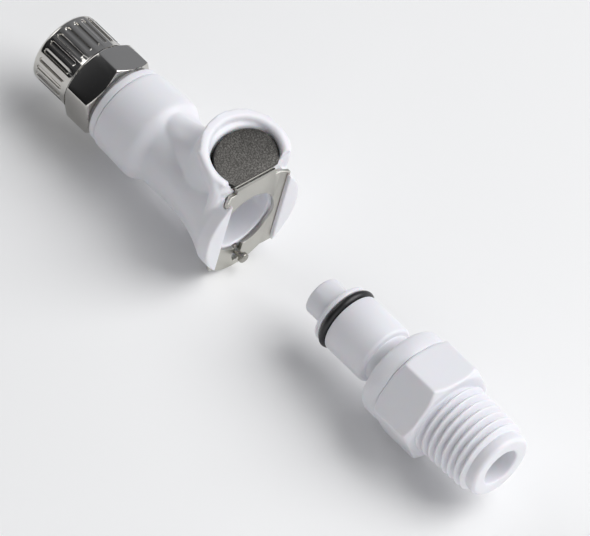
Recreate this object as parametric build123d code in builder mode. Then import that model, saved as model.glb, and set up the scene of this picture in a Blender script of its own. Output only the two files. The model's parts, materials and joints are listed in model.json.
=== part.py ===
"""Quick disconnect tube coupling: a latching body half and its plug-in insert half.

Both halves lie on one axis, +X, with the insert drawn out of the body. X = 0 is the tube
end of the compression nut, +Z is the thumb side. Lengths are in millimetres.
"""

import os
from math import atan, cos, radians, sin, sqrt, tan

from build123d import *

# ---- Fits and clearances ----
running_clearance = 0.07
sliding_clearance = 0.10
seal_seat_gap = 0.02
seat_gap = 0.10
free_gap = 0.30

# ---- Tubing and compression nut ----
tube_radius = 3.175
nut_length = 13.8
nut_grip_length = 8.1
nut_grip_radius = 6.5
nut_hex_flats = 13.06
nut_hex_turn = 43
nut_edge = 0.5
hex_turn_down = 0.6
grip_groove_count = 24
grip_groove_width = 0.75
grip_groove_depth = 0.35
grip_groove_length = 5.7
nut_throat_length = 3.4
nut_cone_length = 2.0
nut_thread_radius = 5.4

# ---- Tube adapter ----
adapter_gap = 0.8
adapter_ring_length = 1.4
adapter_ring_radius = 7.2
adapter_spigot_length = 3.0
adapter_spigot_radius = 6.0
adapter_bore_radius = 1.7
barb_radius = 2.35
barb_nose_radius = 2.0
barb_length = 2.2
barb_gap = 0.3
spider_thickness = 1.4
spider_hole_count = 5
spider_hole_radius = 0.75
spider_hole_circle = 2.5
insert_spider_circle = 2.3

# ---- Body shell ----
barrel_length = 7.2
barrel_rear_radius = 7.5
barrel_front_radius = 7.8
barrel_edge = 0.35
shoulder_length = 3.6
waist_radius = 6.45
waist_length = 4.2
flare_length = 12.5
flare_radius = 9.75
flare_rise = 0.9
flare_curve = ((0.35, 0.10), (0.70, 0.45), (1.0, 1.0))
front_margin = 0.25

# ---- Thumb cup at the top of the body ----
cup_tilt = 20.0
cup_rise = 0.9
cup_setback = 3.0
cup_side_gap = 0.8
cup_end_gap = 2.05
cup_wall = 1.25
cup_rim = 0.6
cup_depth = 3.4
cup_floor_gap = 0.4
cup_lean = 0.41
cup_sections = ((11.0, 0.66, 0.88), (5.0, 0.77, 0.90), (0.0, 1.0, 1.0))
saddle_bottom = -3.0
saddle_drop = 3.2

# ---- Wings that hold the latch plate ----
wing_thickness = 1.4
wing_inner = 6.2

# ---- Thumb latch ----
latch_thickness = 0.7
latch_flat_half_width = 5.3
latch_flange_reach = 1.45
latch_flange_angle = 30.0
latch_ear_height = 2.5
latch_top = 8.7
latch_bottom = 10.2
latch_bottom_radius = 8.5
latch_hole_clearance = 0.15
latch_neck_width = 8.2
latch_travel = 1.4
pad_width = 12.5
pad_length = 7.8
pad_tilt = 25.0
pad_height = 12.3
pad_setback = 3.9
pad_front_cut = 0.7
pad_fold_setback = 0.8
pad_fold_edge = 0.3
pad_thickness = 1.4
pad_slit = 0.25
pad_hem = 1.6
latch_spring_radius = 1.1
latch_spring_wire = 0.28

# ---- Lock pin ----
pin_drop = 7.0
pin_neck_radius = 0.52
pin_ring_radius = 0.8
pin_ring_length = 0.8
pin_ring_overlap = 0.15
pin_edge = 0.25
pin_head_radius = 0.9
pin_head_length = 0.75
pin_reach = 1.95
pin_tail_radius = 0.3
pin_tail_length = 1.4
pin_spring_length = 2.6
pin_spring_wire = 0.2
pin_slot_width = 1.3
pin_stop_gap = 0.3

# ---- Insert half, lengths from the tip of its nose ----
insert_tip = 62.15
nose_radius = 3.35
nose_length = 4.4
nose_edge = 0.5
land_length = 1.0
land_radius = 5.25
seal_groove_length = 1.6
seal_wire_radius = 0.70
seal_outer_radius = 5.65
plug_length = 8.4
plug_radius = 5.35
plug_edge = 0.4
neck_length = 2.8
neck_radius = 4.3
collar_length = 3.5
collar_radius = 8.0
collar_edge = 0.9
insert_hex_flats = 15.875
insert_hex_length = 8.3
insert_thread_length = 10.4
insert_thread_radius = 6.83
insert_pilot_length = 1.9
insert_pilot_radius = 5.8
pipe_taper = atan(1 / 32)
outlet_radius = 3.3
outlet_length = 20.0
insert_spigot_length = 2.2
insert_spigot_radius = 5.2
insert_chamber_radius = 3.5
nose_bore_radius = 2.4

# ---- Valves ----
body_chamber_radius = 5.2
body_seat_length = 1.4
body_poppet_head_radius = 4.0
body_poppet_stem_radius = 2.0
body_poppet_flange = 3.3
poppet_flange_length = 0.35
body_poppet_head_length = 1.6
body_seal_wire_radius = 0.6
body_seal_circle = 3.6
body_poppet_reach = 2.5
body_valve_travel = 1.6
insert_seat_length = 1.2
insert_poppet_head_radius = 3.0
insert_poppet_stem_radius = 1.6
insert_poppet_flange = 2.25
insert_poppet_head_length = 1.8
insert_seal_wire_radius = 0.5
insert_seal_circle = 2.55
insert_poppet_recess = 0.15
guide_radius = 1.2
guide_passage = 0.8
valve_spring_wire = 0.5

# ---- Stations along the axis, each worked out from the lengths above ----
ring_start = nut_length + adapter_gap
barrel_start = ring_start + adapter_ring_length
barrel_end = barrel_start + barrel_length
waist_start = barrel_end + shoulder_length
waist_end = waist_start + waist_length
front_face = waist_end + flare_length
plate_back = front_face + sliding_clearance
plate_front = plate_back + latch_thickness
wing_back = plate_front + sliding_clearance
wing_front = wing_back + wing_thickness

land_start = nose_length
seal_start = land_start + land_length
plug_start = seal_start + seal_groove_length
plug_end = plug_start + plug_length
collar_start = plug_end + neck_length
hex_start = collar_start + collar_length
hex_end = hex_start + insert_hex_length
thread_end = hex_end + insert_thread_length
insert_length = thread_end + insert_pilot_length

connected_collar = plate_front + pin_reach + 0.05
insert_travel = insert_tip + collar_start - connected_collar
connected_tip = insert_tip - insert_travel

socket_radius = seal_outer_radius + sliding_clearance / 2
nose_socket_radius = nose_radius + sliding_clearance
socket_floor = connected_tip + nose_length - free_gap
latch_hole_radius = seal_outer_radius + latch_hole_clearance

os.makedirs("parts", exist_ok=True)


def turned(points, mode=Mode.ADD):
    """Turn a closed profile of (x, radius) points about the coupling's axis."""
    with BuildSketch(Plane.XY) as profile:
        with BuildLine():
            Polyline(*points, close=True)
        make_face()
    revolve(profile.sketch, axis=Axis.X, mode=mode)


def along(x):
    """The plane square to the axis at x, with its own x across the coupling and y up."""
    return Plane.YZ.offset(x)


def coil(start, direction, length, mean_radius, wire_radius, turns):
    """A compression spring's helix, inside its two end planes."""
    free_length = length - 2 * wire_radius
    pitch = free_length / turns
    first_turn = Vector(*start) + Vector(*direction) * wire_radius
    with BuildLine() as path:
        Helix(pitch=pitch, height=free_length, radius=mean_radius, center=first_turn, direction=direction)
    with BuildSketch(Plane(origin=path.line @ 0, z_dir=path.line % 0)) as wire:
        RegularPolygon(wire_radius, 8)
    sweep(wire.sketch, path=path.line, is_frenet=True)


# ---------------------------------------------------------------- compression nut
thread_start = nut_throat_length + nut_cone_length
tube_bore_radius = tube_radius + sliding_clearance
hex_corner = nut_hex_flats / sqrt(3)
with BuildPart() as compression_nut:
    turned(
        [
            (0, 0),
            (0, nut_grip_radius - nut_edge),
            (nut_edge, nut_grip_radius),
            (nut_grip_length, nut_grip_radius),
            (nut_grip_length, 0),
        ]
    )
    with BuildSketch(along(nut_grip_length)):
        RegularPolygon(nut_hex_flats / 2, 6, major_radius=False, rotation=nut_hex_turn)
    extrude(amount=nut_length - nut_grip_length)
    # The hex corners are turned down at both ends.
    corner_drop = hex_corner - nut_hex_flats / 2
    turn_length = corner_drop * hex_turn_down
    turned(
        [
            (nut_length - turn_length, hex_corner + 1),
            (nut_length - turn_length, hex_corner),
            (nut_length, hex_corner - corner_drop),
            (nut_length + 1, hex_corner - corner_drop),
            (nut_length + 1, hex_corner + 1),
        ],
        mode=Mode.SUBTRACT,
    )
    turned(
        [
            (nut_grip_length, hex_corner - corner_drop),
            (nut_grip_length + turn_length, hex_corner),
            (nut_grip_length + turn_length, hex_corner + 1),
            (nut_grip_length, hex_corner + 1),
        ],
        mode=Mode.SUBTRACT,
    )
    groove_middle = nut_grip_length / 2
    for k in range(grip_groove_count):
        turn = 360 * k / grip_groove_count
        out = Vector(0, sin(radians(turn)), cos(radians(turn)))
        face = Plane(origin=Vector(groove_middle, 0, 0) + out * nut_grip_radius, x_dir=(1, 0, 0), z_dir=out)
        with BuildSketch(face):
            SlotOverall(grip_groove_length, grip_groove_width)
        extrude(amount=-grip_groove_depth, mode=Mode.SUBTRACT)
    turned(
        [
            (0, 0),
            (0, tube_bore_radius),
            (nut_throat_length, tube_bore_radius),
            (thread_start, nut_thread_radius),
            (nut_length, nut_thread_radius),
            (nut_length, 0),
        ],
        mode=Mode.SUBTRACT,
    )
compression_nut.part.label = "compression_nut"
export_step(compression_nut.part, "parts/compression_nut.step")

# ---------------------------------------------------------------- tube adapter
stub_start = thread_start + free_gap
stub_radius = nut_thread_radius - running_clearance
barb_start = nut_throat_length + barb_gap
spigot_end = barrel_start + adapter_spigot_length
spider_end = barrel_start + spider_thickness
spring_recess_radius = adapter_spigot_radius - 1.3
with BuildPart() as tube_adapter:
    turned(
        [
            (barb_start, 0),
            (barb_start, barb_nose_radius),
            (barb_start + barb_length * 0.7, barb_radius),
            (barb_start + barb_length * 0.7, barb_nose_radius),
            (stub_start, barb_nose_radius),
            (stub_start, stub_radius - 0.6),
            (stub_start + 0.6, stub_radius),
            (ring_start, stub_radius),
            (ring_start, adapter_ring_radius - 0.3),
            (ring_start + 0.3, adapter_ring_radius),
            (barrel_start, adapter_ring_radius),
            (barrel_start, adapter_spigot_radius),
            (spigot_end, adapter_spigot_radius),
            (spigot_end, 0),
        ]
    )
    turned(
        [
            (barb_start, 0),
            (barb_start, adapter_bore_radius),
            (stub_start, adapter_bore_radius),
            (stub_start + 2, outlet_radius),
            (barrel_start, outlet_radius),
            (barrel_start, 0),
        ],
        mode=Mode.SUBTRACT,
    )
    turned(
        [
            (spider_end, 0),
            (spider_end, spring_recess_radius),
            (spigot_end, spring_recess_radius),
            (spigot_end, 0),
        ],
        mode=Mode.SUBTRACT,
    )
    with BuildSketch(along(barrel_start)):
        Circle(guide_radius + running_clearance)
        with PolarLocations(spider_hole_circle, spider_hole_count):
            Circle(spider_hole_radius)
    extrude(amount=spider_thickness, mode=Mode.SUBTRACT)
tube_adapter.part.label = "tube_adapter"
export_step(tube_adapter.part, "parts/tube_adapter.step")

# ---------------------------------------------------------------- thumb latch
flange_rise = latch_flange_reach * tan(radians(latch_flange_angle))
flange_edge = latch_flat_half_width + latch_flange_reach
notch_bottom = pin_drop + pin_ring_radius + pin_stop_gap
slot_bottom = pin_drop + pin_neck_radius + latch_travel + sliding_clearance
pad_middle = plate_front - pad_setback
pad_plane = Plane(
    origin=(pad_middle, 0, pad_height),
    x_dir=(0, 1, 0),
    z_dir=(sin(radians(pad_tilt)), 0, cos(radians(pad_tilt))),
)


def latch_section(grow):
    """Half of the plate's section across the coupling, grown by a clearance."""
    slope = tan(radians(latch_flange_angle))
    lean = grow / cos(radians(latch_flange_angle))
    bend_shift = grow * tan(radians(latch_flange_angle / 2))
    front_bend = latch_flat_half_width - bend_shift
    back_bend = latch_flat_half_width + bend_shift
    edge = flange_edge + grow
    return [
        (plate_back - grow, 0),
        (plate_back - grow, back_bend),
        (plate_back - lean + (edge - latch_flat_half_width) * slope, edge),
        (plate_front + lean + (edge - latch_flat_half_width) * slope, edge),
        (plate_front + grow, front_bend),
        (plate_front + grow, 0),
    ]


with BuildPart() as thumb_latch:
    # The channel section stands the full height of the plate, then its outline is cut.
    with BuildSketch(Plane.XY.offset(-latch_bottom)):
        with BuildLine():
            Polyline(*latch_section(0), close=True)
        make_face()
        mirror(about=Plane.XZ)
    extrude(amount=latch_bottom + latch_top)
    with BuildSketch(along(plate_back - 1)) as outline:
        with Locations((0, latch_bottom_radius - latch_bottom)):
            Circle(latch_bottom_radius)
        with Locations((0, latch_top)):
            Rectangle(2 * flange_edge, latch_top + latch_ear_height, align=(Align.CENTER, Align.MAX))
    extrude(amount=latch_thickness + flange_rise + 2, mode=Mode.INTERSECT)
    with BuildSketch(along(plate_back - 1)):
        Circle(latch_hole_radius)
        with Locations((0, -notch_bottom)):
            Rectangle(2 * (pin_ring_radius + sliding_clearance), notch_bottom, align=(Align.CENTER, Align.MIN))
        with Locations((0, -slot_bottom + pin_slot_width / 2)):
            Circle(pin_slot_width / 2)
            Rectangle(pin_slot_width, slot_bottom, align=(Align.CENTER, Align.MIN))
    extrude(amount=latch_thickness + flange_rise + 2, mode=Mode.SUBTRACT)
    # The neck rises from the plate and folds back over the body into the thumb pad.
    pad_slope = tan(radians(pad_tilt))
    under_pad = pad_height - pad_thickness / cos(radians(pad_tilt))
    fold_x = plate_back - pad_fold_setback
    bend_x = plate_front - pad_fold_edge
    sheet_top = under_pad + latch_thickness / cos(radians(pad_tilt))
    with BuildSketch(Plane.XZ):
        with BuildLine():
            Polyline(
                (plate_back, latch_top - 1),
                (plate_back, under_pad - (plate_back - pad_middle) * pad_slope),
                (fold_x, under_pad - (fold_x - pad_middle) * pad_slope),
                (fold_x, sheet_top - (fold_x - pad_middle) * pad_slope),
                (bend_x, sheet_top - (bend_x - pad_middle) * pad_slope),
                (plate_front, sheet_top - (plate_front - pad_middle) * pad_slope - pad_fold_edge),
                (plate_front, latch_top - 1),
                close=True,
            )
        make_face()
    extrude(amount=latch_neck_width / 2, both=True)
    with BuildSketch(pad_plane) as pad_outline:
        with Locations((0, -pad_front_cut)):
            Ellipse(pad_width / 2, pad_length / 2 + pad_front_cut)
        with Locations((0, -pad_length / 2)):
            Rectangle(pad_width, pad_length, align=(Align.CENTER, Align.MAX), mode=Mode.SUBTRACT)
    extrude(amount=-pad_thickness)
    # The sheet is hemmed back on itself at the rear, so a slit shows along the front and sides.
    with BuildSketch(pad_plane.offset(-latch_thickness)):
        with Locations((0, pad_length / 2 - pad_hem)):
            Rectangle(2 * pad_width, pad_length - pad_hem + 0.2, align=(Align.CENTER, Align.MAX))
    extrude(amount=-pad_slit, mode=Mode.SUBTRACT)
thumb_latch.part.label = "thumb_latch"
export_step(thumb_latch.part, "parts/thumb_latch.step")

# ---------------------------------------------------------------- body shell
cup_height = pad_height + cup_rise
cup_half_width = pad_width / 2 + cup_side_gap + cup_wall
cup_half_length = pad_length / 2 + cup_end_gap + cup_wall
cup_middle = front_face - cup_setback
cup_rear = cup_middle - cup_half_length * cos(radians(cup_tilt))
cup_rear_top = cup_height + cup_half_length * sin(radians(cup_tilt))
cup_normal = Vector(sin(radians(cup_tilt)), 0, cos(radians(cup_tilt)))
seat_start = socket_floor - nose_length - body_seat_length
pin_hole_start = plate_back + pin_ring_overlap - pin_ring_length - pin_spring_length
pocket_bottom = socket_radius + 1.2


def cup_plane(down):
    """A plane in line with the cup's rim, lowered along a leaning line towards the waist."""
    origin = Vector(cup_middle - cup_lean * down, 0, cup_height - down)
    return Plane(origin=origin, x_dir=(0, 1, 0), z_dir=cup_normal)


with BuildPart() as body_shell:
    with BuildSketch(Plane.XY):
        with BuildLine():
            rear = Polyline(
                (barrel_start, 0),
                (barrel_start, barrel_rear_radius - barrel_edge),
                (barrel_start + barrel_edge, barrel_rear_radius),
                (barrel_end, barrel_front_radius),
            )
            shoulder = Spline(
                rear @ 1,
                (waist_start, waist_radius),
                tangents=[(1, 0.04), (1, -0.04)],
            )
            Polyline(shoulder @ 1, (waist_end, waist_radius), (waist_end, 0), (barrel_start, 0))
        make_face()
    revolve(axis=Axis.X)
    # The flare opens in a hollow curve and rises a little towards the thumb side.
    with BuildSketch(along(waist_end)):
        Circle(waist_radius)
    for part_way, share in flare_curve:
        with BuildSketch(along(waist_end + flare_length * part_way)):
            with Locations((0, flare_rise * share)):
                Circle(waist_radius + (flare_radius - waist_radius) * share)
    loft()
    # The saddle carries the barrel's top line forward and up to the cup.
    for x, top, half_width in (
        (barrel_end, barrel_front_radius - 0.3, 3.7),
        (waist_start + waist_length * 0.25, waist_radius + 1.1, 4.0),
        (waist_end, waist_radius + 2.6, 4.4),
        (cup_rear + 1, cup_rear_top - saddle_drop, 4.9),
    ):
        with BuildSketch(along(x)):
            with Locations((0, (top + saddle_bottom) / 2)):
                Ellipse(half_width, (top - saddle_bottom) / 2)
    loft()
    # The cup flares out of the waist towards its oval rim.
    for down, width_share, length_share in cup_sections:
        with BuildSketch(cup_plane(down)):
            Ellipse(cup_half_width * width_share, cup_half_length * length_share)
    loft()
    # Ahead of the front face the cup keeps only its cheeks, clear of the latch's ears.
    with BuildSketch(along(front_face)):
        Rectangle(2 * (flange_edge + sliding_clearance), 4 * flare_radius)
    extrude(amount=flare_length, mode=Mode.SUBTRACT)
    with BuildSketch(along(front_face)):
        with Locations((0, flare_rise)):
            Circle(flare_radius)
        Rectangle(2 * wing_inner, 4 * flare_radius, mode=Mode.SUBTRACT)
    extrude(amount=wing_front - front_face)
    # The latch's channel runs right through between the front face and the wings.
    with BuildSketch(Plane.XY.offset(-2 * flare_radius)):
        with BuildLine():
            Polyline(*latch_section(sliding_clearance), close=True)
        make_face()
        mirror(about=Plane.XZ)
    extrude(amount=4 * flare_radius, mode=Mode.SUBTRACT)
    # The scoop in the cup, open to the front.
    with BuildSketch(cup_plane(-0.01)):
        Ellipse(cup_half_width - cup_rim, cup_half_length - cup_rim)
    with BuildSketch(cup_plane(cup_depth)):
        Ellipse(pad_width / 2 + cup_floor_gap, pad_length / 2 + 2 * cup_floor_gap)
    loft(mode=Mode.SUBTRACT)
    # Inside: the adapter's counterbore, the valve chamber and its seat, and the stepped socket.
    turned(
        [
            (barrel_start, 0),
            (barrel_start, adapter_spigot_radius),
            (spigot_end, adapter_spigot_radius),
            (spigot_end, body_chamber_radius),
            (seat_start, body_chamber_radius),
            (seat_start + body_seat_length, nose_socket_radius),
            (socket_floor, nose_socket_radius),
            (socket_floor, socket_radius),
            (front_face - front_margin, socket_radius),
            (front_face, socket_radius + front_margin),
            (front_face, 0),
        ],
        mode=Mode.SUBTRACT,
    )
    with BuildSketch(along(pin_hole_start)):
        with Locations((0, -pin_drop)):
            Circle(pin_ring_radius + running_clearance)
    extrude(amount=front_face - pin_hole_start, mode=Mode.SUBTRACT)
    with BuildSketch(Plane.XY.offset(pocket_bottom)):
        with Locations((pad_middle, 0)):
            Circle(latch_spring_radius + latch_spring_wire + free_gap)
    extrude(amount=cup_height - pocket_bottom, mode=Mode.SUBTRACT)
body_shell.part.label = "body_shell"
export_step(body_shell.part, "parts/body_shell.step")

# ---------------------------------------------------------------- latch spring
spring_reach = latch_spring_radius + latch_spring_wire
spring_top = under_pad - spring_reach * pad_slope - 0.05
with BuildPart() as latch_spring:
    coil(
        (pad_middle, 0, pocket_bottom),
        (0, 0, 1),
        spring_top - pocket_bottom,
        latch_spring_radius,
        latch_spring_wire / 2,
        4,
    )
latch_spring.part.label = "latch_spring"
export_step(latch_spring.part, "parts/latch_spring.step")

# ---------------------------------------------------------------- lock pin and its spring
ring_front = plate_back + pin_ring_overlap
ring_back = ring_front - pin_ring_length
pin_end = plate_front + pin_reach
pin_steps = [
    (ring_back - pin_tail_length, pin_tail_length, pin_tail_radius),
    (ring_back, pin_ring_length, pin_ring_radius),
    (ring_front, pin_end - pin_head_length - ring_front, pin_neck_radius),
    (pin_end - pin_head_length, pin_head_length, pin_head_radius),
]
with BuildPart() as lock_pin:
    for start, length, radius in pin_steps:
        with BuildSketch(along(start)):
            with Locations((0, -pin_drop)):
                Circle(radius)
        extrude(amount=length)
    fillet(lock_pin.edges().group_by(Axis.X)[-1], radius=pin_edge)
lock_pin.part.label = "lock_pin"
export_step(lock_pin.part, "parts/lock_pin.step")

with BuildPart() as lock_pin_spring:
    coil(
        (pin_hole_start, 0, -pin_drop),
        (1, 0, 0),
        pin_spring_length,
        pin_ring_radius - pin_spring_wire / 2 - 0.1,
        pin_spring_wire / 2,
        5,
    )
lock_pin_spring.part.label = "lock_pin_spring"
export_step(lock_pin_spring.part, "parts/lock_pin_spring.step")


# ---------------------------------------------------------------- valve pieces
def seat_offset(inner_radius, outer_radius, length, circle, wire):
    """How far behind the seat's narrow end a seal ring of this size touches its cone."""
    rise = outer_radius - inner_radius
    slant = sqrt(rise**2 + length**2)
    return ((wire + seal_seat_gap) * slant + (circle - inner_radius) * length) / rise


def poppet(tip, way, stem_length, stem_radius, flange_radius, groove, head_length, head_radius, guide_end):
    """A valve poppet turned on the axis: stem, flange, seal groove, head and guide."""
    groove_length, groove_radius = groove
    flange_start = tip + way * stem_length
    groove_start = flange_start + way * poppet_flange_length
    groove_end = groove_start + way * groove_length
    head_end = groove_end + way * head_length
    turned(
        [
            (tip, 0),
            (tip, stem_radius),
            (flange_start, stem_radius),
            (flange_start, flange_radius),
            (groove_start, flange_radius),
            (groove_start, groove_radius),
            (groove_end, groove_radius),
            (groove_end, head_radius),
            (head_end, head_radius),
            (head_end, guide_radius),
            (guide_end, guide_radius),
            (guide_end, 0),
        ]
    )


seat_front = seat_start + body_seat_length
body_seal_x = seat_front - seat_offset(
    nose_socket_radius, body_chamber_radius, body_seat_length, body_seal_circle, body_seal_wire_radius
)
body_groove_length = 2 * body_seal_wire_radius + 0.06
body_groove_front = body_seal_x + body_groove_length / 2
body_flange_front = body_groove_front + poppet_flange_length
body_poppet_tip = connected_tip + body_valve_travel - 2 * seat_gap
body_head_back = body_groove_front - body_groove_length - body_poppet_head_length
with BuildPart() as body_poppet:
    poppet(
        body_poppet_tip,
        -1,
        body_poppet_tip - body_flange_front,
        body_poppet_stem_radius,
        body_poppet_flange,
        (body_groove_length, body_seal_circle - body_seal_wire_radius),
        body_poppet_head_length,
        body_poppet_head_radius,
        barrel_start + 0.1,
    )
body_poppet.part.label = "body_poppet"
export_step(body_poppet.part, "parts/body_poppet.step")

with BuildPart() as body_poppet_seal:
    with BuildSketch(Plane.XY):
        with Locations((body_seal_x, body_seal_circle)):
            Circle(body_seal_wire_radius)
    revolve(axis=Axis.X)
body_poppet_seal.part.label = "body_poppet_seal"
export_step(body_poppet_seal.part, "parts/body_poppet_seal.step")

with BuildPart() as body_valve_spring:
    coil(
        (spider_end, 0, 0),
        (1, 0, 0),
        body_head_back - spider_end,
        body_poppet_head_radius - valve_spring_wire,
        valve_spring_wire / 2,
        5,
    )
body_valve_spring.part.label = "body_valve_spring"
export_step(body_valve_spring.part, "parts/body_valve_spring.step")

# ---------------------------------------------------------------- insert: front, with its plug
insert_seat_start = nose_length - 0.4
insert_spigot_start = hex_start - insert_spigot_length
with BuildPart() as insert_front:
    with BuildSketch(Plane.XY):
        with BuildLine():
            Polyline(
                (insert_tip, 0),
                (insert_tip, nose_radius - nose_edge),
                (insert_tip + nose_edge * 0.3, nose_radius - nose_edge * 0.3),
                (insert_tip + nose_edge, nose_radius),
                (insert_tip + land_start, nose_radius),
                (insert_tip + land_start, land_radius - 0.25),
                (insert_tip + land_start + 0.25, land_radius),
                (insert_tip + seal_start, land_radius),
                (insert_tip + seal_start, seal_outer_radius - 2 * seal_wire_radius),
                (insert_tip + plug_start, seal_outer_radius - 2 * seal_wire_radius),
                (insert_tip + plug_start, plug_radius),
                (insert_tip + plug_end - plug_edge, plug_radius),
                (insert_tip + plug_end, plug_radius - plug_edge),
                (insert_tip + plug_end, neck_radius),
                (insert_tip + collar_start, neck_radius),
                (insert_tip + collar_start, collar_radius - collar_edge),
                (insert_tip + collar_start + collar_edge * 0.3, collar_radius - collar_edge * 0.3),
                (insert_tip + collar_start + collar_edge, collar_radius),
                (insert_tip + hex_start, collar_radius),
                (insert_tip + hex_start, 0),
                close=True,
            )
        make_face()
    revolve(axis=Axis.X)
    turned(
        [
            (insert_tip, 0),
            (insert_tip, nose_bore_radius),
            (insert_tip + insert_seat_start, nose_bore_radius),
            (insert_tip + insert_seat_start + insert_seat_length, insert_chamber_radius),
            (insert_tip + insert_spigot_start, insert_chamber_radius),
            (insert_tip + insert_spigot_start, insert_spigot_radius),
            (insert_tip + hex_start, insert_spigot_radius),
            (insert_tip + hex_start, 0),
        ],
        mode=Mode.SUBTRACT,
    )
insert_front.part.label = "insert_front"
export_step(insert_front.part, "parts/insert_front.step")

with BuildPart() as insert_seal:
    with BuildSketch(Plane.XY):
        with Locations(
            (insert_tip + seal_start + seal_groove_length / 2, seal_outer_radius - seal_wire_radius)
        ):
            Circle(seal_wire_radius)
    revolve(axis=Axis.X)
insert_seal.part.label = "insert_seal"
export_step(insert_seal.part, "parts/insert_seal.step")

# ---------------------------------------------------------------- insert: hex and pipe thread
insert_corner = insert_hex_flats / sqrt(3)
insert_corner_drop = insert_corner - insert_hex_flats / 2
thread_small_radius = insert_thread_radius - insert_thread_length * tan(pipe_taper)
insert_end = insert_tip + insert_length
with BuildPart() as insert_adapter:
    with BuildSketch(along(insert_tip + hex_start)):
        RegularPolygon(insert_hex_flats / 2, 6, major_radius=False)
    extrude(amount=insert_hex_length)
    # Both ends of the hex are turned down to rounded corners.
    for face_x, inward in ((insert_tip + hex_start, 1), (insert_tip + hex_end, -1)):
        turned(
            [
                (face_x - inward, insert_corner - insert_corner_drop),
                (face_x, insert_corner - insert_corner_drop),
                (face_x + inward * insert_corner_drop * hex_turn_down, insert_corner),
                (face_x + inward * insert_corner_drop * hex_turn_down, insert_corner + 1),
                (face_x - inward, insert_corner + 1),
            ],
            mode=Mode.SUBTRACT,
        )
    turned(
        [
            (insert_tip + insert_spigot_start, 0),
            (insert_tip + insert_spigot_start, insert_spigot_radius),
            (insert_tip + hex_end, insert_spigot_radius),
            (insert_tip + hex_end, insert_thread_radius),
            (insert_tip + thread_end, thread_small_radius),
            (insert_tip + thread_end, insert_pilot_radius),
            (insert_end - 0.4, insert_pilot_radius),
            (insert_end, insert_pilot_radius - 0.4),
            (insert_end, 0),
        ]
    )
    turned(
        [
            (insert_end, 0),
            (insert_end, outlet_radius),
            (insert_end - outlet_length, outlet_radius),
            (insert_end - outlet_length, 0),
        ],
        mode=Mode.SUBTRACT,
    )
    with BuildSketch(along(insert_tip + insert_spigot_start)):
        Circle(guide_radius + running_clearance)
        with PolarLocations(insert_spider_circle, spider_hole_count):
            Circle(spider_hole_radius)
    extrude(amount=insert_end - insert_tip - insert_spigot_start - outlet_length, mode=Mode.SUBTRACT)
insert_adapter.part.label = "insert_adapter"
export_step(insert_adapter.part, "parts/insert_adapter.step")

# ---------------------------------------------------------------- insert: valve
insert_seal_x = insert_tip + insert_seat_start + seat_offset(
    nose_bore_radius, insert_chamber_radius, insert_seat_length, insert_seal_circle, insert_seal_wire_radius
)
insert_groove_length = 2 * insert_seal_wire_radius + 0.06
insert_groove_front = insert_seal_x - insert_groove_length / 2
insert_poppet_tip = insert_tip + insert_poppet_recess
insert_head_back = insert_groove_front + insert_groove_length + insert_poppet_head_length
with BuildPart() as insert_poppet:
    poppet(
        insert_poppet_tip,
        1,
        insert_groove_front - poppet_flange_length - insert_poppet_tip,
        insert_poppet_stem_radius,
        insert_poppet_flange,
        (insert_groove_length, insert_seal_circle - insert_seal_wire_radius),
        insert_poppet_head_length,
        insert_poppet_head_radius,
        insert_tip + insert_spigot_start + guide_passage,
    )
insert_poppet.part.label = "insert_poppet"
export_step(insert_poppet.part, "parts/insert_poppet.step")

with BuildPart() as insert_poppet_seal:
    with BuildSketch(Plane.XY):
        with Locations((insert_seal_x, insert_seal_circle)):
            Circle(insert_seal_wire_radius)
    revolve(axis=Axis.X)
insert_poppet_seal.part.label = "insert_poppet_seal"
export_step(insert_poppet_seal.part, "parts/insert_poppet_seal.step")

with BuildPart() as insert_valve_spring:
    coil(
        (insert_head_back, 0, 0),
        (1, 0, 0),
        insert_tip + insert_spigot_start - insert_head_back,
        insert_poppet_head_radius - valve_spring_wire,
        valve_spring_wire / 2,
        8,
    )
insert_valve_spring.part.label = "insert_valve_spring"
export_step(insert_valve_spring.part, "parts/insert_valve_spring.step")
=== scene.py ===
# %% [markdown]
# # A plastic quick disconnect coupling
#
# The real object is two plug-together halves: a moulded body with a steel thumb latch and a
# plated compression nut, and an insert with a rubber seal and a pipe thread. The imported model
# gives every piece at its true size. This lesson dresses it: soft moulded edges on the
# plastic, a real helix for the thread, rolled edges on the sheet metal, and one finish for
# each material. Everything stays in metres, in the frame that the model was packed in.

# %% Load the frame
import json
import math

import bpy
from mathutils import Matrix, Vector


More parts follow.
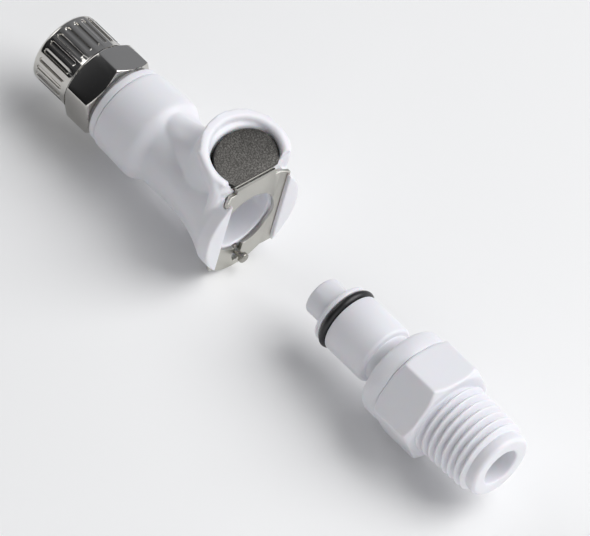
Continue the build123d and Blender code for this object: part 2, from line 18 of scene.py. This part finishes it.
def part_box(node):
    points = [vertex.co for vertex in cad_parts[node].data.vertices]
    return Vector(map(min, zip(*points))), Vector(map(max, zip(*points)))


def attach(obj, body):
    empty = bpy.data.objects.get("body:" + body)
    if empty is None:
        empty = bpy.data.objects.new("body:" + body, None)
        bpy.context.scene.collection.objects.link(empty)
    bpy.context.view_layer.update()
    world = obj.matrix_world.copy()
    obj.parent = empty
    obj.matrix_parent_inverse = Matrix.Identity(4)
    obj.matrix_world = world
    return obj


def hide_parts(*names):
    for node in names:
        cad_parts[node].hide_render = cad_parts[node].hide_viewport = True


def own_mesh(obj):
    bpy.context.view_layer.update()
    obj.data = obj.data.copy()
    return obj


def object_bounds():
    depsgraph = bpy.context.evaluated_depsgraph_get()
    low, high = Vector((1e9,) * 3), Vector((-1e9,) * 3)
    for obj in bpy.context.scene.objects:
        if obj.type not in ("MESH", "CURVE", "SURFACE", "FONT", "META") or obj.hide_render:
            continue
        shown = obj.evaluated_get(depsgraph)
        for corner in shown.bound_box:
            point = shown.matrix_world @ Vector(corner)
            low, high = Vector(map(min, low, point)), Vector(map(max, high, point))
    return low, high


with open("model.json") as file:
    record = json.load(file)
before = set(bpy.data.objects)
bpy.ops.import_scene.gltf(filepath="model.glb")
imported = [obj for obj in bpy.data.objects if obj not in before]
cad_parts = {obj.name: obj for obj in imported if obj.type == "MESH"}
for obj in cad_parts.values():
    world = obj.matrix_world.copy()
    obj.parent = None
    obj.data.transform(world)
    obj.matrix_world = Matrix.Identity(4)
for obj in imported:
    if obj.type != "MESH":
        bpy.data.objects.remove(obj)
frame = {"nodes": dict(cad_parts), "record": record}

cad_low, cad_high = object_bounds()
MM = 0.001
MERGE_DISTANCE = 0.002 * MM
print("model box in mm:", [round(v / MM, 2) for v in (*cad_low, *cad_high)])

# %% [markdown]
# ## Small helpers
#
# Operators act on whatever is selected, so each step starts from a clean selection. A packed
# node is loose triangles: its copy is merged into one connected skin before it is worked on,
# and the node itself is left alone. The copy then replaces the node in the picture.

# %% Helpers for selecting, copying and finishing
def select_only(piece):
    """Leave one object selected and active."""
    bpy.ops.object.select_all(action="DESELECT")
    piece.select_set(True)
    bpy.context.view_layer.objects.active = piece


def skin_of(node, name):
    """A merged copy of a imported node, ready to be worked on."""
    source = frame["nodes"][node]
    piece = source.copy()
    piece.data = source.data.copy()
    piece.name = name
    bpy.context.scene.collection.objects.link(piece)
    select_only(piece)
    bpy.ops.object.mode_set(mode="EDIT")
    bpy.ops.mesh.select_all(action="SELECT")
    bpy.ops.mesh.remove_doubles(threshold=MERGE_DISTANCE)
    bpy.ops.object.mode_set(mode="OBJECT")
    return piece


def apply_modifier(piece, kind, **settings):
    """Add one modifier, set it and apply it."""
    modifier = piece.modifiers.new(kind.title(), kind)
    for key, value in settings.items():
        setattr(modifier, key, value)
    select_only(piece)
    bpy.ops.object.modifier_apply(modifier=modifier.name)


def smooth(piece, degrees):
    """Shade the skin smooth, but keep the edges sharper than this angle."""
    select_only(piece)
    bpy.ops.object.shade_smooth_by_angle(angle=math.radians(degrees))


def wear(piece, finish):
    """Give the piece one finish all over."""
    piece.data.materials.clear()
    piece.data.materials.append(finish)


def stand_for(piece, node, body, finish):
    """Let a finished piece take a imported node's place in the picture."""
    wear(piece, finish)
    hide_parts(node)
    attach(piece, body)


BODY_OF = {
    node: body
    for body, nodes in frame["record"]["behaviour"]["bodies"].items()
    for node in nodes
}
SLOT_OF = {part["node"]: part["material_slot"] for part in frame["record"]["subparts"]}

# %% [markdown]
# ## Surface effects shared by several finishes
#
# Moulded plastic, rolled steel and plating all show a faint unevenness, only at different
# sizes and strengths. One node group makes it: noise on the object's own coordinates, out as
# a value to vary the roughness and as a height for a Bump node.

# %% A group for fine unevenness
def fine_grain_group():
    group = bpy.data.node_groups.new("fine grain", "ShaderNodeTree")
    for name, side in (
        ("Scale", "INPUT"),
        ("Low", "INPUT"),
        ("High", "INPUT"),
        ("Value", "OUTPUT"),
        ("Height", "OUTPUT"),
    ):
        group.interface.new_socket(name=name, in_out=side, socket_type="NodeSocketFloat")
    nodes, links = group.nodes, group.links
    inside = nodes.new("NodeGroupInput")
    outside = nodes.new("NodeGroupOutput")
    place = nodes.new("ShaderNodeTexCoord")
    noise = nodes.new("ShaderNodeTexNoise")
    noise.inputs["Detail"].default_value = 4
    spread = nodes.new("ShaderNodeMapRange")
    links.new(place.outputs["Object"], noise.inputs["Vector"])
    links.new(inside.outputs["Scale"], noise.inputs["Scale"])
    links.new(noise.outputs["Fac"], spread.inputs["Value"])
    links.new(inside.outputs["Low"], spread.inputs["To Min"])
    links.new(inside.outputs["High"], spread.inputs["To Max"])
    links.new(spread.outputs["Result"], outside.inputs["Value"])
    links.new(noise.outputs["Fac"], outside.inputs["Height"])
    return group


fine_grain = fine_grain_group()


# %% A plain start for every finish
def finish(name, colour, roughness, metallic=0.0, **sockets):
    """A new material and its Principled shader, with the shader's sockets set."""
    material = bpy.data.materials.new(name)
    material.use_nodes = True
    shader = material.node_tree.nodes["Principled BSDF"]
    shader.inputs["Base Color"].default_value = (*colour, 1)
    shader.inputs["Roughness"].default_value = roughness
    shader.inputs["Metallic"].default_value = metallic
    for socket, value in sockets.items():
        shader.inputs[socket].default_value = value
    return material, shader


GRAIN_DEPTH = 0.02 * MM


def add_grain(material, shader, scale, low, high, bump):
    """Vary a finish's roughness between two values and roughen its surface a little."""
    nodes, links = material.node_tree.nodes, material.node_tree.links
    grain = nodes.new("ShaderNodeGroup")
    grain.node_tree = fine_grain
    grain.inputs["Scale"].default_value = scale
    grain.inputs["Low"].default_value = low
    grain.inputs["High"].default_value = high
    links.new(grain.outputs["Value"], shader.inputs["Roughness"])
    rough = nodes.new("ShaderNodeBump")
    rough.inputs["Strength"].default_value = bump
    rough.inputs["Distance"].default_value = GRAIN_DEPTH
    links.new(grain.outputs["Height"], rough.inputs["Height"])
    links.new(rough.outputs["Normal"], shader.inputs["Normal"])


# %% [markdown]
# ## Finishes
#
# The acetal is a dense white plastic with a soft gloss, a little light inside it and a cool
# cast in the shade. The plating is a bright mirror with a warm grey tint. The latch is satin
# sheet, and the seals are black rubber.

# %% White acetal
acetal, shader = finish(
    "white acetal",
    (0.83, 0.83, 0.87),
    0.3,
    **{"Subsurface Weight": 0.15, "Subsurface Scale": 0.5 * MM, "IOR": 1.48},
)
add_grain(acetal, shader, scale=900, low=0.26, high=0.36, bump=0.04)

# %% Nickel plating
nickel, shader = finish("nickel plating", (0.60, 0.585, 0.555), 0.1, metallic=1.0)
add_grain(nickel, shader, scale=1500, low=0.07, high=0.15, bump=0.06)

# %% [markdown]
# The latch is one sheet with two looks: a plain satin plate, and a thumb pad that is darker and
# speckled. Everything above one height belongs to the pad, so that height parts the two tones.

# %% Satin stainless sheet with a dark speckled pad
PAD_HEIGHT = 9.8 * MM
PLATE_TONE = (0.56, 0.55, 0.51)
PAD_DARK = (0.032, 0.031, 0.029)
PAD_LIGHT = (0.085, 0.082, 0.078)
sheet, shader = finish("satin stainless sheet", PLATE_TONE, 0.35, metallic=1.0)
add_grain(sheet, shader, scale=6000, low=0.30, high=0.46, bump=0.15)
nodes, links = sheet.node_tree.nodes, sheet.node_tree.links
place = nodes.new("ShaderNodeTexCoord")
height = nodes.new("ShaderNodeSeparateXYZ")
on_pad = nodes.new("ShaderNodeMath")
on_pad.operation = "GREATER_THAN"
on_pad.inputs[1].default_value = PAD_HEIGHT
speckle = nodes.new("ShaderNodeTexNoise")
speckle.inputs["Scale"].default_value = 4200
speckle.inputs["Detail"].default_value = 2
speckle_tone = nodes.new("ShaderNodeValToRGB")
dark, light = speckle_tone.color_ramp.elements
dark.position, dark.color = 0.42, (*PAD_DARK, 1)
light.position, light.color = 0.72, (*PAD_LIGHT, 1)
either = nodes.new("ShaderNodeMix")
either.data_type = "RGBA"
either.inputs["A"].default_value = (*PLATE_TONE, 1)
links.new(place.outputs["Object"], height.inputs["Vector"])
links.new(height.outputs["Z"], on_pad.inputs[0])
links.new(place.outputs["Object"], speckle.inputs["Vector"])
links.new(speckle.outputs["Fac"], speckle_tone.inputs["Fac"])
links.new(on_pad.outputs["Value"], either.inputs["Factor"])
links.new(speckle_tone.outputs["Color"], either.inputs["B"])
links.new(either.outputs["Result"], shader.inputs["Base Color"])

# %% Turned stainless pin and drawn spring wire
turned_steel, shader = finish("turned stainless", (0.34, 0.33, 0.30), 0.25, metallic=1.0)
add_grain(turned_steel, shader, scale=3000, low=0.2, high=0.35, bump=0.1)

# %% Black rubber
rubber, shader = finish("black rubber", (0.012, 0.012, 0.013), 0.35)
add_grain(rubber, shader, scale=2500, low=0.28, high=0.42, bump=0.1)

FINISH_OF_SLOT = {
    "white_acetal": acetal,
    "nickel_plated_brass": nickel,
    "stainless_sheet": sheet,
    "stainless_pin": turned_steel,
    "spring_steel": turned_steel,
    "black_rubber": rubber,
}
for node, item in frame["nodes"].items():
    for material_slot in item.material_slots:
        material_slot.material = FINISH_OF_SLOT[SLOT_OF[node]]

# %% [markdown]
# ## Moulded plastic
#
# Moulded plastic has no sharp edges: one surface runs into the next. The merged skin is rebuilt
# from small even squares, then relaxed, which rounds every edge and blends the cup, the saddle
# and the waist as a mould does.

# %% A helper for soft moulded skins
SQUARE = 0.2 * MM


def moulded_skin(piece, passes):
    """Rebuild a skin from even squares and relax it."""
    apply_modifier(piece, "REMESH", mode="VOXEL", voxel_size=SQUARE)
    apply_modifier(piece, "SMOOTH", factor=0.5, iterations=passes)
    select_only(piece)
    bpy.ops.object.shade_smooth()
    print(piece.name, len(piece.data.polygons), "faces")


# %% [markdown]
# ## The body shell
#
# The cup's rim is a rounded bead, and on each side it runs down into a lip that ends at the
# cheek. Both are added as simple rounds that sink into the shell, before the skin is rebuilt,
# so that the rebuilding melts them together.

# %% Rounded beads along the rim and the wall of the thumb cup
CUP_MIDDLE = 40.5 * MM
CUP_HEIGHT = 13.2 * MM
CUP_TILT = math.radians(20)
FRONT_FACE = 43.4 * MM


def cup_bead(half_width, half_length, radius, drop):
    """An oval bead in line with the cup's rim, lowered by drop and cut off at the front face."""
    bpy.ops.object.select_all(action="DESELECT")
    bpy.ops.mesh.primitive_torus_add(
        major_segments=96, minor_segments=20, major_radius=half_width, minor_radius=radius
    )
    bead = bpy.context.active_object
    bead.scale.x = half_length / half_width
    bead.rotation_euler.y = CUP_TILT
    bead.location = (CUP_MIDDLE, 0, CUP_HEIGHT - drop)
    bpy.ops.object.transform_apply(location=True, rotation=True, scale=True)
    bpy.ops.object.mode_set(mode="EDIT")
    bpy.ops.mesh.select_all(action="SELECT")
    bpy.ops.mesh.bisect(
        plane_co=(FRONT_FACE, 0, 0), plane_no=(1, 0, 0), use_fill=True, clear_outer=True
    )
    bpy.ops.object.mode_set(mode="OBJECT")
    return bead


beads = [
    cup_bead(half_width=7.40 * MM, half_length=6.35 * MM, radius=0.90 * MM, drop=0.85 * MM),
    cup_bead(half_width=7.55 * MM, half_length=5.30 * MM, radius=1.00 * MM, drop=2.00 * MM),
]

# %% The lips that run from the cup's rim down to the cheeks
# Each point is X, Y and Z in millimetres and a thickness. The root fills in behind the lip.
LIP_PATH = (
    (37.0, 6.9, 13.65, 0.8),
    (39.2, 7.4, 12.95, 0.9),
    (41.2, 7.7, 12.15, 0.9),
    (42.4, 7.75, 11.0, 0.9),
    (42.5, 7.5, 9.2, 0.95),
    (42.5, 7.3, 7.0, 0.95),
    (42.4, 7.3, 4.8, 0.9),
    (42.2, 7.3, 2.4, 0.8),
    (41.8, 7.2, 0.0, 0.6),
)


LIP_ROOT = (
    (42.5, 6.7, 10.1, 0.8),
    (42.5, 6.4, 8.6, 0.9),
    (42.5, 6.2, 7.0, 0.9),
    (42.4, 6.2, 5.2, 0.9),
    (42.2, 6.4, 3.4, 0.8),
)


def lip(path, side):
    """A rounded lip on one side of the cup, +1 or -1, as a tube along a smooth curve."""
    bpy.ops.object.select_all(action="DESELECT")
    line = bpy.data.curves.new("lip", "CURVE")
    line.dimensions = "3D"
    line.bevel_depth = 1.0 * MM
    line.bevel_resolution = 4
    line.resolution_u = 8
    line.use_fill_caps = True
    spline = line.splines.new("NURBS")
    spline.points.add(len(path) - 1)
    for point, (x, y, z, radius) in zip(spline.points, path):
        point.co = (x * MM, side * y * MM, z * MM, 1)
        point.radius = radius
    spline.order_u = 3
    spline.use_endpoint_u = True
    tube = bpy.data.objects.new("lip", line)
    bpy.context.scene.collection.objects.link(tube)
    select_only(tube)
    bpy.ops.object.convert(target="MESH")
    return bpy.context.active_object


beads += [lip(path, side) for path in (LIP_PATH, LIP_ROOT) for side in (1, -1)]

# %% The shell and its beads, rebuilt as one skin
body_skin = skin_of("body_shell", "moulded_body")
for bead in beads:
    bead.select_set(True)
bpy.ops.object.join()
moulded_skin(body_skin, passes=16)
stand_for(body_skin, "body_shell", "coupling_body", acetal)

# %% [markdown]
# ## The threaded half of the insert
#
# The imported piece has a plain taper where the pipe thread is. Here that taper is drawn in to
# the bottom of the thread, and a ridged skin is wound round it. The ridges come from one
# rounded tooth, swept along a helix by a Screw modifier, then fitted to the taper.

# %% The hexagon and the core of the thread
THREAD_PITCH = 1.4111 * MM
THREAD_LENGTH = 10.4 * MM
THREAD_DEPTH = 0.95 * MM
CREST_RADIUS = 6.83 * MM
PILOT_LENGTH = 1.9 * MM
PILOT_RADIUS = 5.8 * MM
PIPE_TAPER = 1 / 32
CORE_GAP = 0.05 * MM
thread_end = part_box("insert_adapter")[1].x - PILOT_LENGTH
thread_start = thread_end - THREAD_LENGTH


def crest_at(x):
    """The crest's radius on the pipe taper."""
    return CREST_RADIUS - (x - thread_start) * PIPE_TAPER


def set_radius(vertex, radius):
    """Move a vertex straight in or out to this distance from the axis."""
    share = radius / math.hypot(vertex.co.y, vertex.co.z)
    vertex.co.y *= share
    vertex.co.z *= share


SLACK = 0.01 * MM
hexagon = skin_of("insert_adapter", "moulded_hexagon")
for vertex in hexagon.data.vertices:
    in_length = thread_start - SLACK < vertex.co.x < thread_end + SLACK
    off_crest = abs(math.hypot(vertex.co.y, vertex.co.z) - crest_at(vertex.co.x))
    if in_length and off_crest < 5 * SLACK:
        set_radius(vertex, crest_at(vertex.co.x) - THREAD_DEPTH - CORE_GAP)
moulded_skin(hexagon, passes=8)
stand_for(hexagon, "insert_adapter", "insert", acetal)

# %% One rounded tooth, wound along the helix
TOOTH_POINTS = 16
TOOTH_SHARPNESS = 1.2
TURNS = 9
STEPS_PER_TURN = 72
tooth = []
for k in range(TOOTH_POINTS + 1):
    share = k / TOOTH_POINTS
    drop = (0.5 + 0.5 * math.cos(2 * math.pi * share)) ** TOOTH_SHARPNESS
    along = thread_start + (share - 1) * THREAD_PITCH
    tooth.append((along, CREST_RADIUS - drop * THREAD_DEPTH, 0))
tooth_mesh = bpy.data.meshes.new("pipe_thread")
tooth_mesh.from_pydata(tooth, [(k, k + 1) for k in range(TOOTH_POINTS)], [])
thread = bpy.data.objects.new("pipe_thread", tooth_mesh)
bpy.context.scene.collection.objects.link(thread)
apply_modifier(
    thread,
    "SCREW",
    axis="X",
    angle=2 * math.pi,
    screw_offset=THREAD_PITCH,
    iterations=TURNS,
    steps=STEPS_PER_TURN,
    render_steps=STEPS_PER_TURN,
    use_merge_vertices=True,
    merge_threshold=MERGE_DISTANCE,
)

# %% The thread on its taper, faded out at the pilot
# The thread sinks just under the pilot's skin, and what is left of it there is cut away.
PILOT_SINK = 0.08 * MM
RUN_OUT_SLOPE = 1.6
THREAD_OVERLAP = 0.35 * MM
for vertex in thread.data.vertices:
    drop = CREST_RADIUS - math.hypot(vertex.co.y, vertex.co.z)
    run_out = PILOT_RADIUS - PILOT_SINK + (thread_end - vertex.co.x) * RUN_OUT_SLOPE
    set_radius(vertex, min(crest_at(vertex.co.x) - drop, run_out))
select_only(thread)
bpy.ops.object.mode_set(mode="EDIT")
bpy.ops.mesh.select_all(action="SELECT")
bpy.ops.mesh.bisect(
    plane_co=(thread_end + THREAD_OVERLAP, 0, 0), plane_no=(1, 0, 0), clear_outer=True
)
bpy.ops.mesh.select_all(action="SELECT")
bpy.ops.mesh.normals_make_consistent(inside=False)
bpy.ops.object.mode_set(mode="OBJECT")
bpy.ops.object.shade_smooth()
wear(thread, acetal)
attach(thread, "insert")
print("thread", len(thread.data.polygons), "faces")

# %% [markdown]
# ## Pressed, turned and plated metal
#
# Metal edges are broken by a fine bevel, which is what catches the light. Flat faces are first
# merged out of their triangles, so the bevel runs along real edges only.

# %% A helper for metal with broken edges
FLAT_ANGLE = math.radians(0.5)
EDGE_DEGREES = 30


def eased_skin(node, name, width):
    """A merged copy with its sharp edges broken."""
    piece = skin_of(node, name)
    bpy.ops.object.mode_set(mode="EDIT")
    bpy.ops.mesh.select_all(action="SELECT")
    bpy.ops.mesh.dissolve_limited(angle_limit=FLAT_ANGLE)
    bpy.ops.object.mode_set(mode="OBJECT")
    apply_modifier(
        piece,
        "BEVEL",
        width=width,
        segments=2,
        limit_method="ANGLE",
        angle_limit=math.radians(EDGE_DEGREES),
        use_clamp_overlap=False,
        harden_normals=False,
    )
    smooth(piece, EDGE_DEGREES)
    print(piece.name, len(piece.data.polygons), "faces")
    return piece


# %% The compression nut and the thumb latch
nut_skin = eased_skin("compression_nut", "plated_nut", 0.15 * MM)
stand_for(nut_skin, "compression_nut", "nut", nickel)
latch_skin = eased_skin("thumb_latch", "pressed_latch", 0.07 * MM)
stand_for(latch_skin, "thumb_latch", "latch", sheet)
pin_skin = eased_skin("lock_pin", "turned_lock_pin", 0.05 * MM)
stand_for(pin_skin, "lock_pin", "pin", turned_steel)

# %% [markdown]
# ## Turned plastic and rubber
#
# The adapter, the plug of the insert and both poppets are round all the way along, so their
# merged copies only need soft edges and smooth shading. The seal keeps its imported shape.

# %% The round plastic pieces
for node, name, edge in (
    ("tube_adapter", "moulded_tube_end", 0.12 * MM),
    ("insert_front", "insert_plug", 0.18 * MM),
    ("body_poppet", "moulded_body_poppet", 0.10 * MM),
    ("insert_poppet", "moulded_insert_poppet", 0.10 * MM),
):
    piece = eased_skin(node, name, edge)
    stand_for(piece, node, BODY_OF[node], acetal)

# %% The seal ring on the plug
seal_skin = skin_of("insert_seal", "plug_seal_ring")
smooth(seal_skin, 60)
stand_for(seal_skin, "insert_seal", "insert", rubber)

# %% [markdown]
# ## The springs that are pressed
#
# Two valve springs and the pin's spring get shorter when the coupling closes or the latch
# lifts. Each packed coil is replaced by a merged, smooth copy with a mesh of its own. The
# joint, fixed end and stroke listed with it are not used.

# %% The pressed springs
for node, name, joint, fixed_end, stroke in (
    ("body_valve_spring", "coiled_body_spring", "body_valve_slide", 0, 1.6 * MM),
    ("insert_valve_spring", "coiled_insert_spring", "insert_valve_slide", 1, 1.4 * MM),
    ("lock_pin_spring", "coiled_pin_spring", "lock_pin_slide", 0, 0.84 * MM),
):
    coil = skin_of(node, name)
    smooth(coil, 60)
    stand_for(coil, node, BODY_OF[node], turned_steel)
    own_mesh(coil)

# %% [markdown]
# ## Floor and light
#
# A plain pale floor under the coupling, three soft boxes and a dim surround. The surround is
# darker than the floor, so the plating has something dark to mirror.

# %% The floor
floor_level = cad_low.z
bpy.ops.mesh.primitive_plane_add(size=4.0, location=(cad_high.x / 2, 0, floor_level))
floor = bpy.context.active_object
floor.name = "floor"
floor_finish, _ = finish("pale floor", (0.91, 0.91, 0.91), 0.9)
wear(floor, floor_finish)

# %% The lights
def soft_box(name, direction, distance, size, power):
    """A square area lamp that looks at the middle of the coupling."""
    lamp = bpy.data.lights.new(name, "AREA")
    lamp.size = size
    lamp.energy = power
    holder = bpy.data.objects.new(name, lamp)
    bpy.context.scene.collection.objects.link(holder)
    aim = Vector(direction).normalized()
    holder.location = (cad_low + cad_high) / 2 + aim * distance
    holder.rotation_mode = "QUATERNION"
    holder.rotation_quaternion = aim.to_track_quat("Z", "Y")


soft_box("key box", (0.52, 0.58, 1.0), distance=0.75, size=0.75, power=6.0)
soft_box("low fill box", (1.0, -0.8, 0.35), distance=0.3, size=0.3, power=0.25)
soft_box("side box", (-1.0, -0.2, 0.5), distance=0.7, size=0.35, power=0.9)

# %% The surround
# It is dark on one side and grey on the other, which gives the plating its contrast.
world = bpy.data.worlds.new("surround")
world.use_nodes = True
nodes, links = world.node_tree.nodes, world.node_tree.links
surround = nodes["Background"]
surround.inputs["Color"].default_value = (0.8, 0.82, 0.88, 1)
sky = nodes.new("ShaderNodeTexCoord")
sides = nodes.new("ShaderNodeSeparateXYZ")
brightness = nodes.new("ShaderNodeMapRange")
for socket, value in (("From Min", -0.8), ("From Max", 1.0), ("To Min", 0.02), ("To Max", 0.40)):
    brightness.inputs[socket].default_value = value
links.new(sky.outputs["Generated"], sides.inputs["Vector"])
links.new(sides.outputs["Y"], brightness.inputs["Value"])
links.new(brightness.outputs["Result"], surround.inputs["Strength"])
bpy.context.scene.world = world
bpy.context.scene.view_settings.view_transform = "Standard"

# %% [markdown]
# ## Camera
#
# The camera looks down the coupling's length from its thumb side with a very long lens, so
# the two halves run from the upper left to the lower right with hardly any perspective.

# %% The camera
AXIS_TOWARDS_CAMERA = 0.40
THUMB_TURN = math.radians(38)
AXIS_SLOPE = math.radians(43.9)
VIEW_WIDTH = 92.6 * MM
CAMERA_DISTANCE = 1.5
SENSOR_WIDTH = 36.0
AIM_ON_AXIS = 56.6 * MM
AIM_RIGHT = -0.31 * MM
AIM_UP = 0.55 * MM

across = math.sqrt(1 - AXIS_TOWARDS_CAMERA**2)
back = Vector(
    (AXIS_TOWARDS_CAMERA, -across * math.sin(THUMB_TURN), across * math.cos(THUMB_TURN))
).normalized()
run = (Vector((1, 0, 0)) - back * back.x).normalized()
rise = back.cross(run)
right = run * math.cos(AXIS_SLOPE) + rise * math.sin(AXIS_SLOPE)
up = rise * math.cos(AXIS_SLOPE) - run * math.sin(AXIS_SLOPE)
aim = Vector((AIM_ON_AXIS, 0, 0)) + right * AIM_RIGHT + up * AIM_UP
camera_data = bpy.data.cameras.new("camera")
camera_data.sensor_width = SENSOR_WIDTH
camera_data.lens = SENSOR_WIDTH * CAMERA_DISTANCE / VIEW_WIDTH
camera_data.clip_start = 0.1
camera_data.clip_end = 10.0
camera = bpy.data.objects.new("camera", camera_data)
bpy.context.scene.collection.objects.link(camera)
camera.matrix_world = Matrix.Translation(aim + back * CAMERA_DISTANCE) @ Matrix(
    (right, up, back)
).transposed().to_4x4()
bpy.context.scene.camera = camera
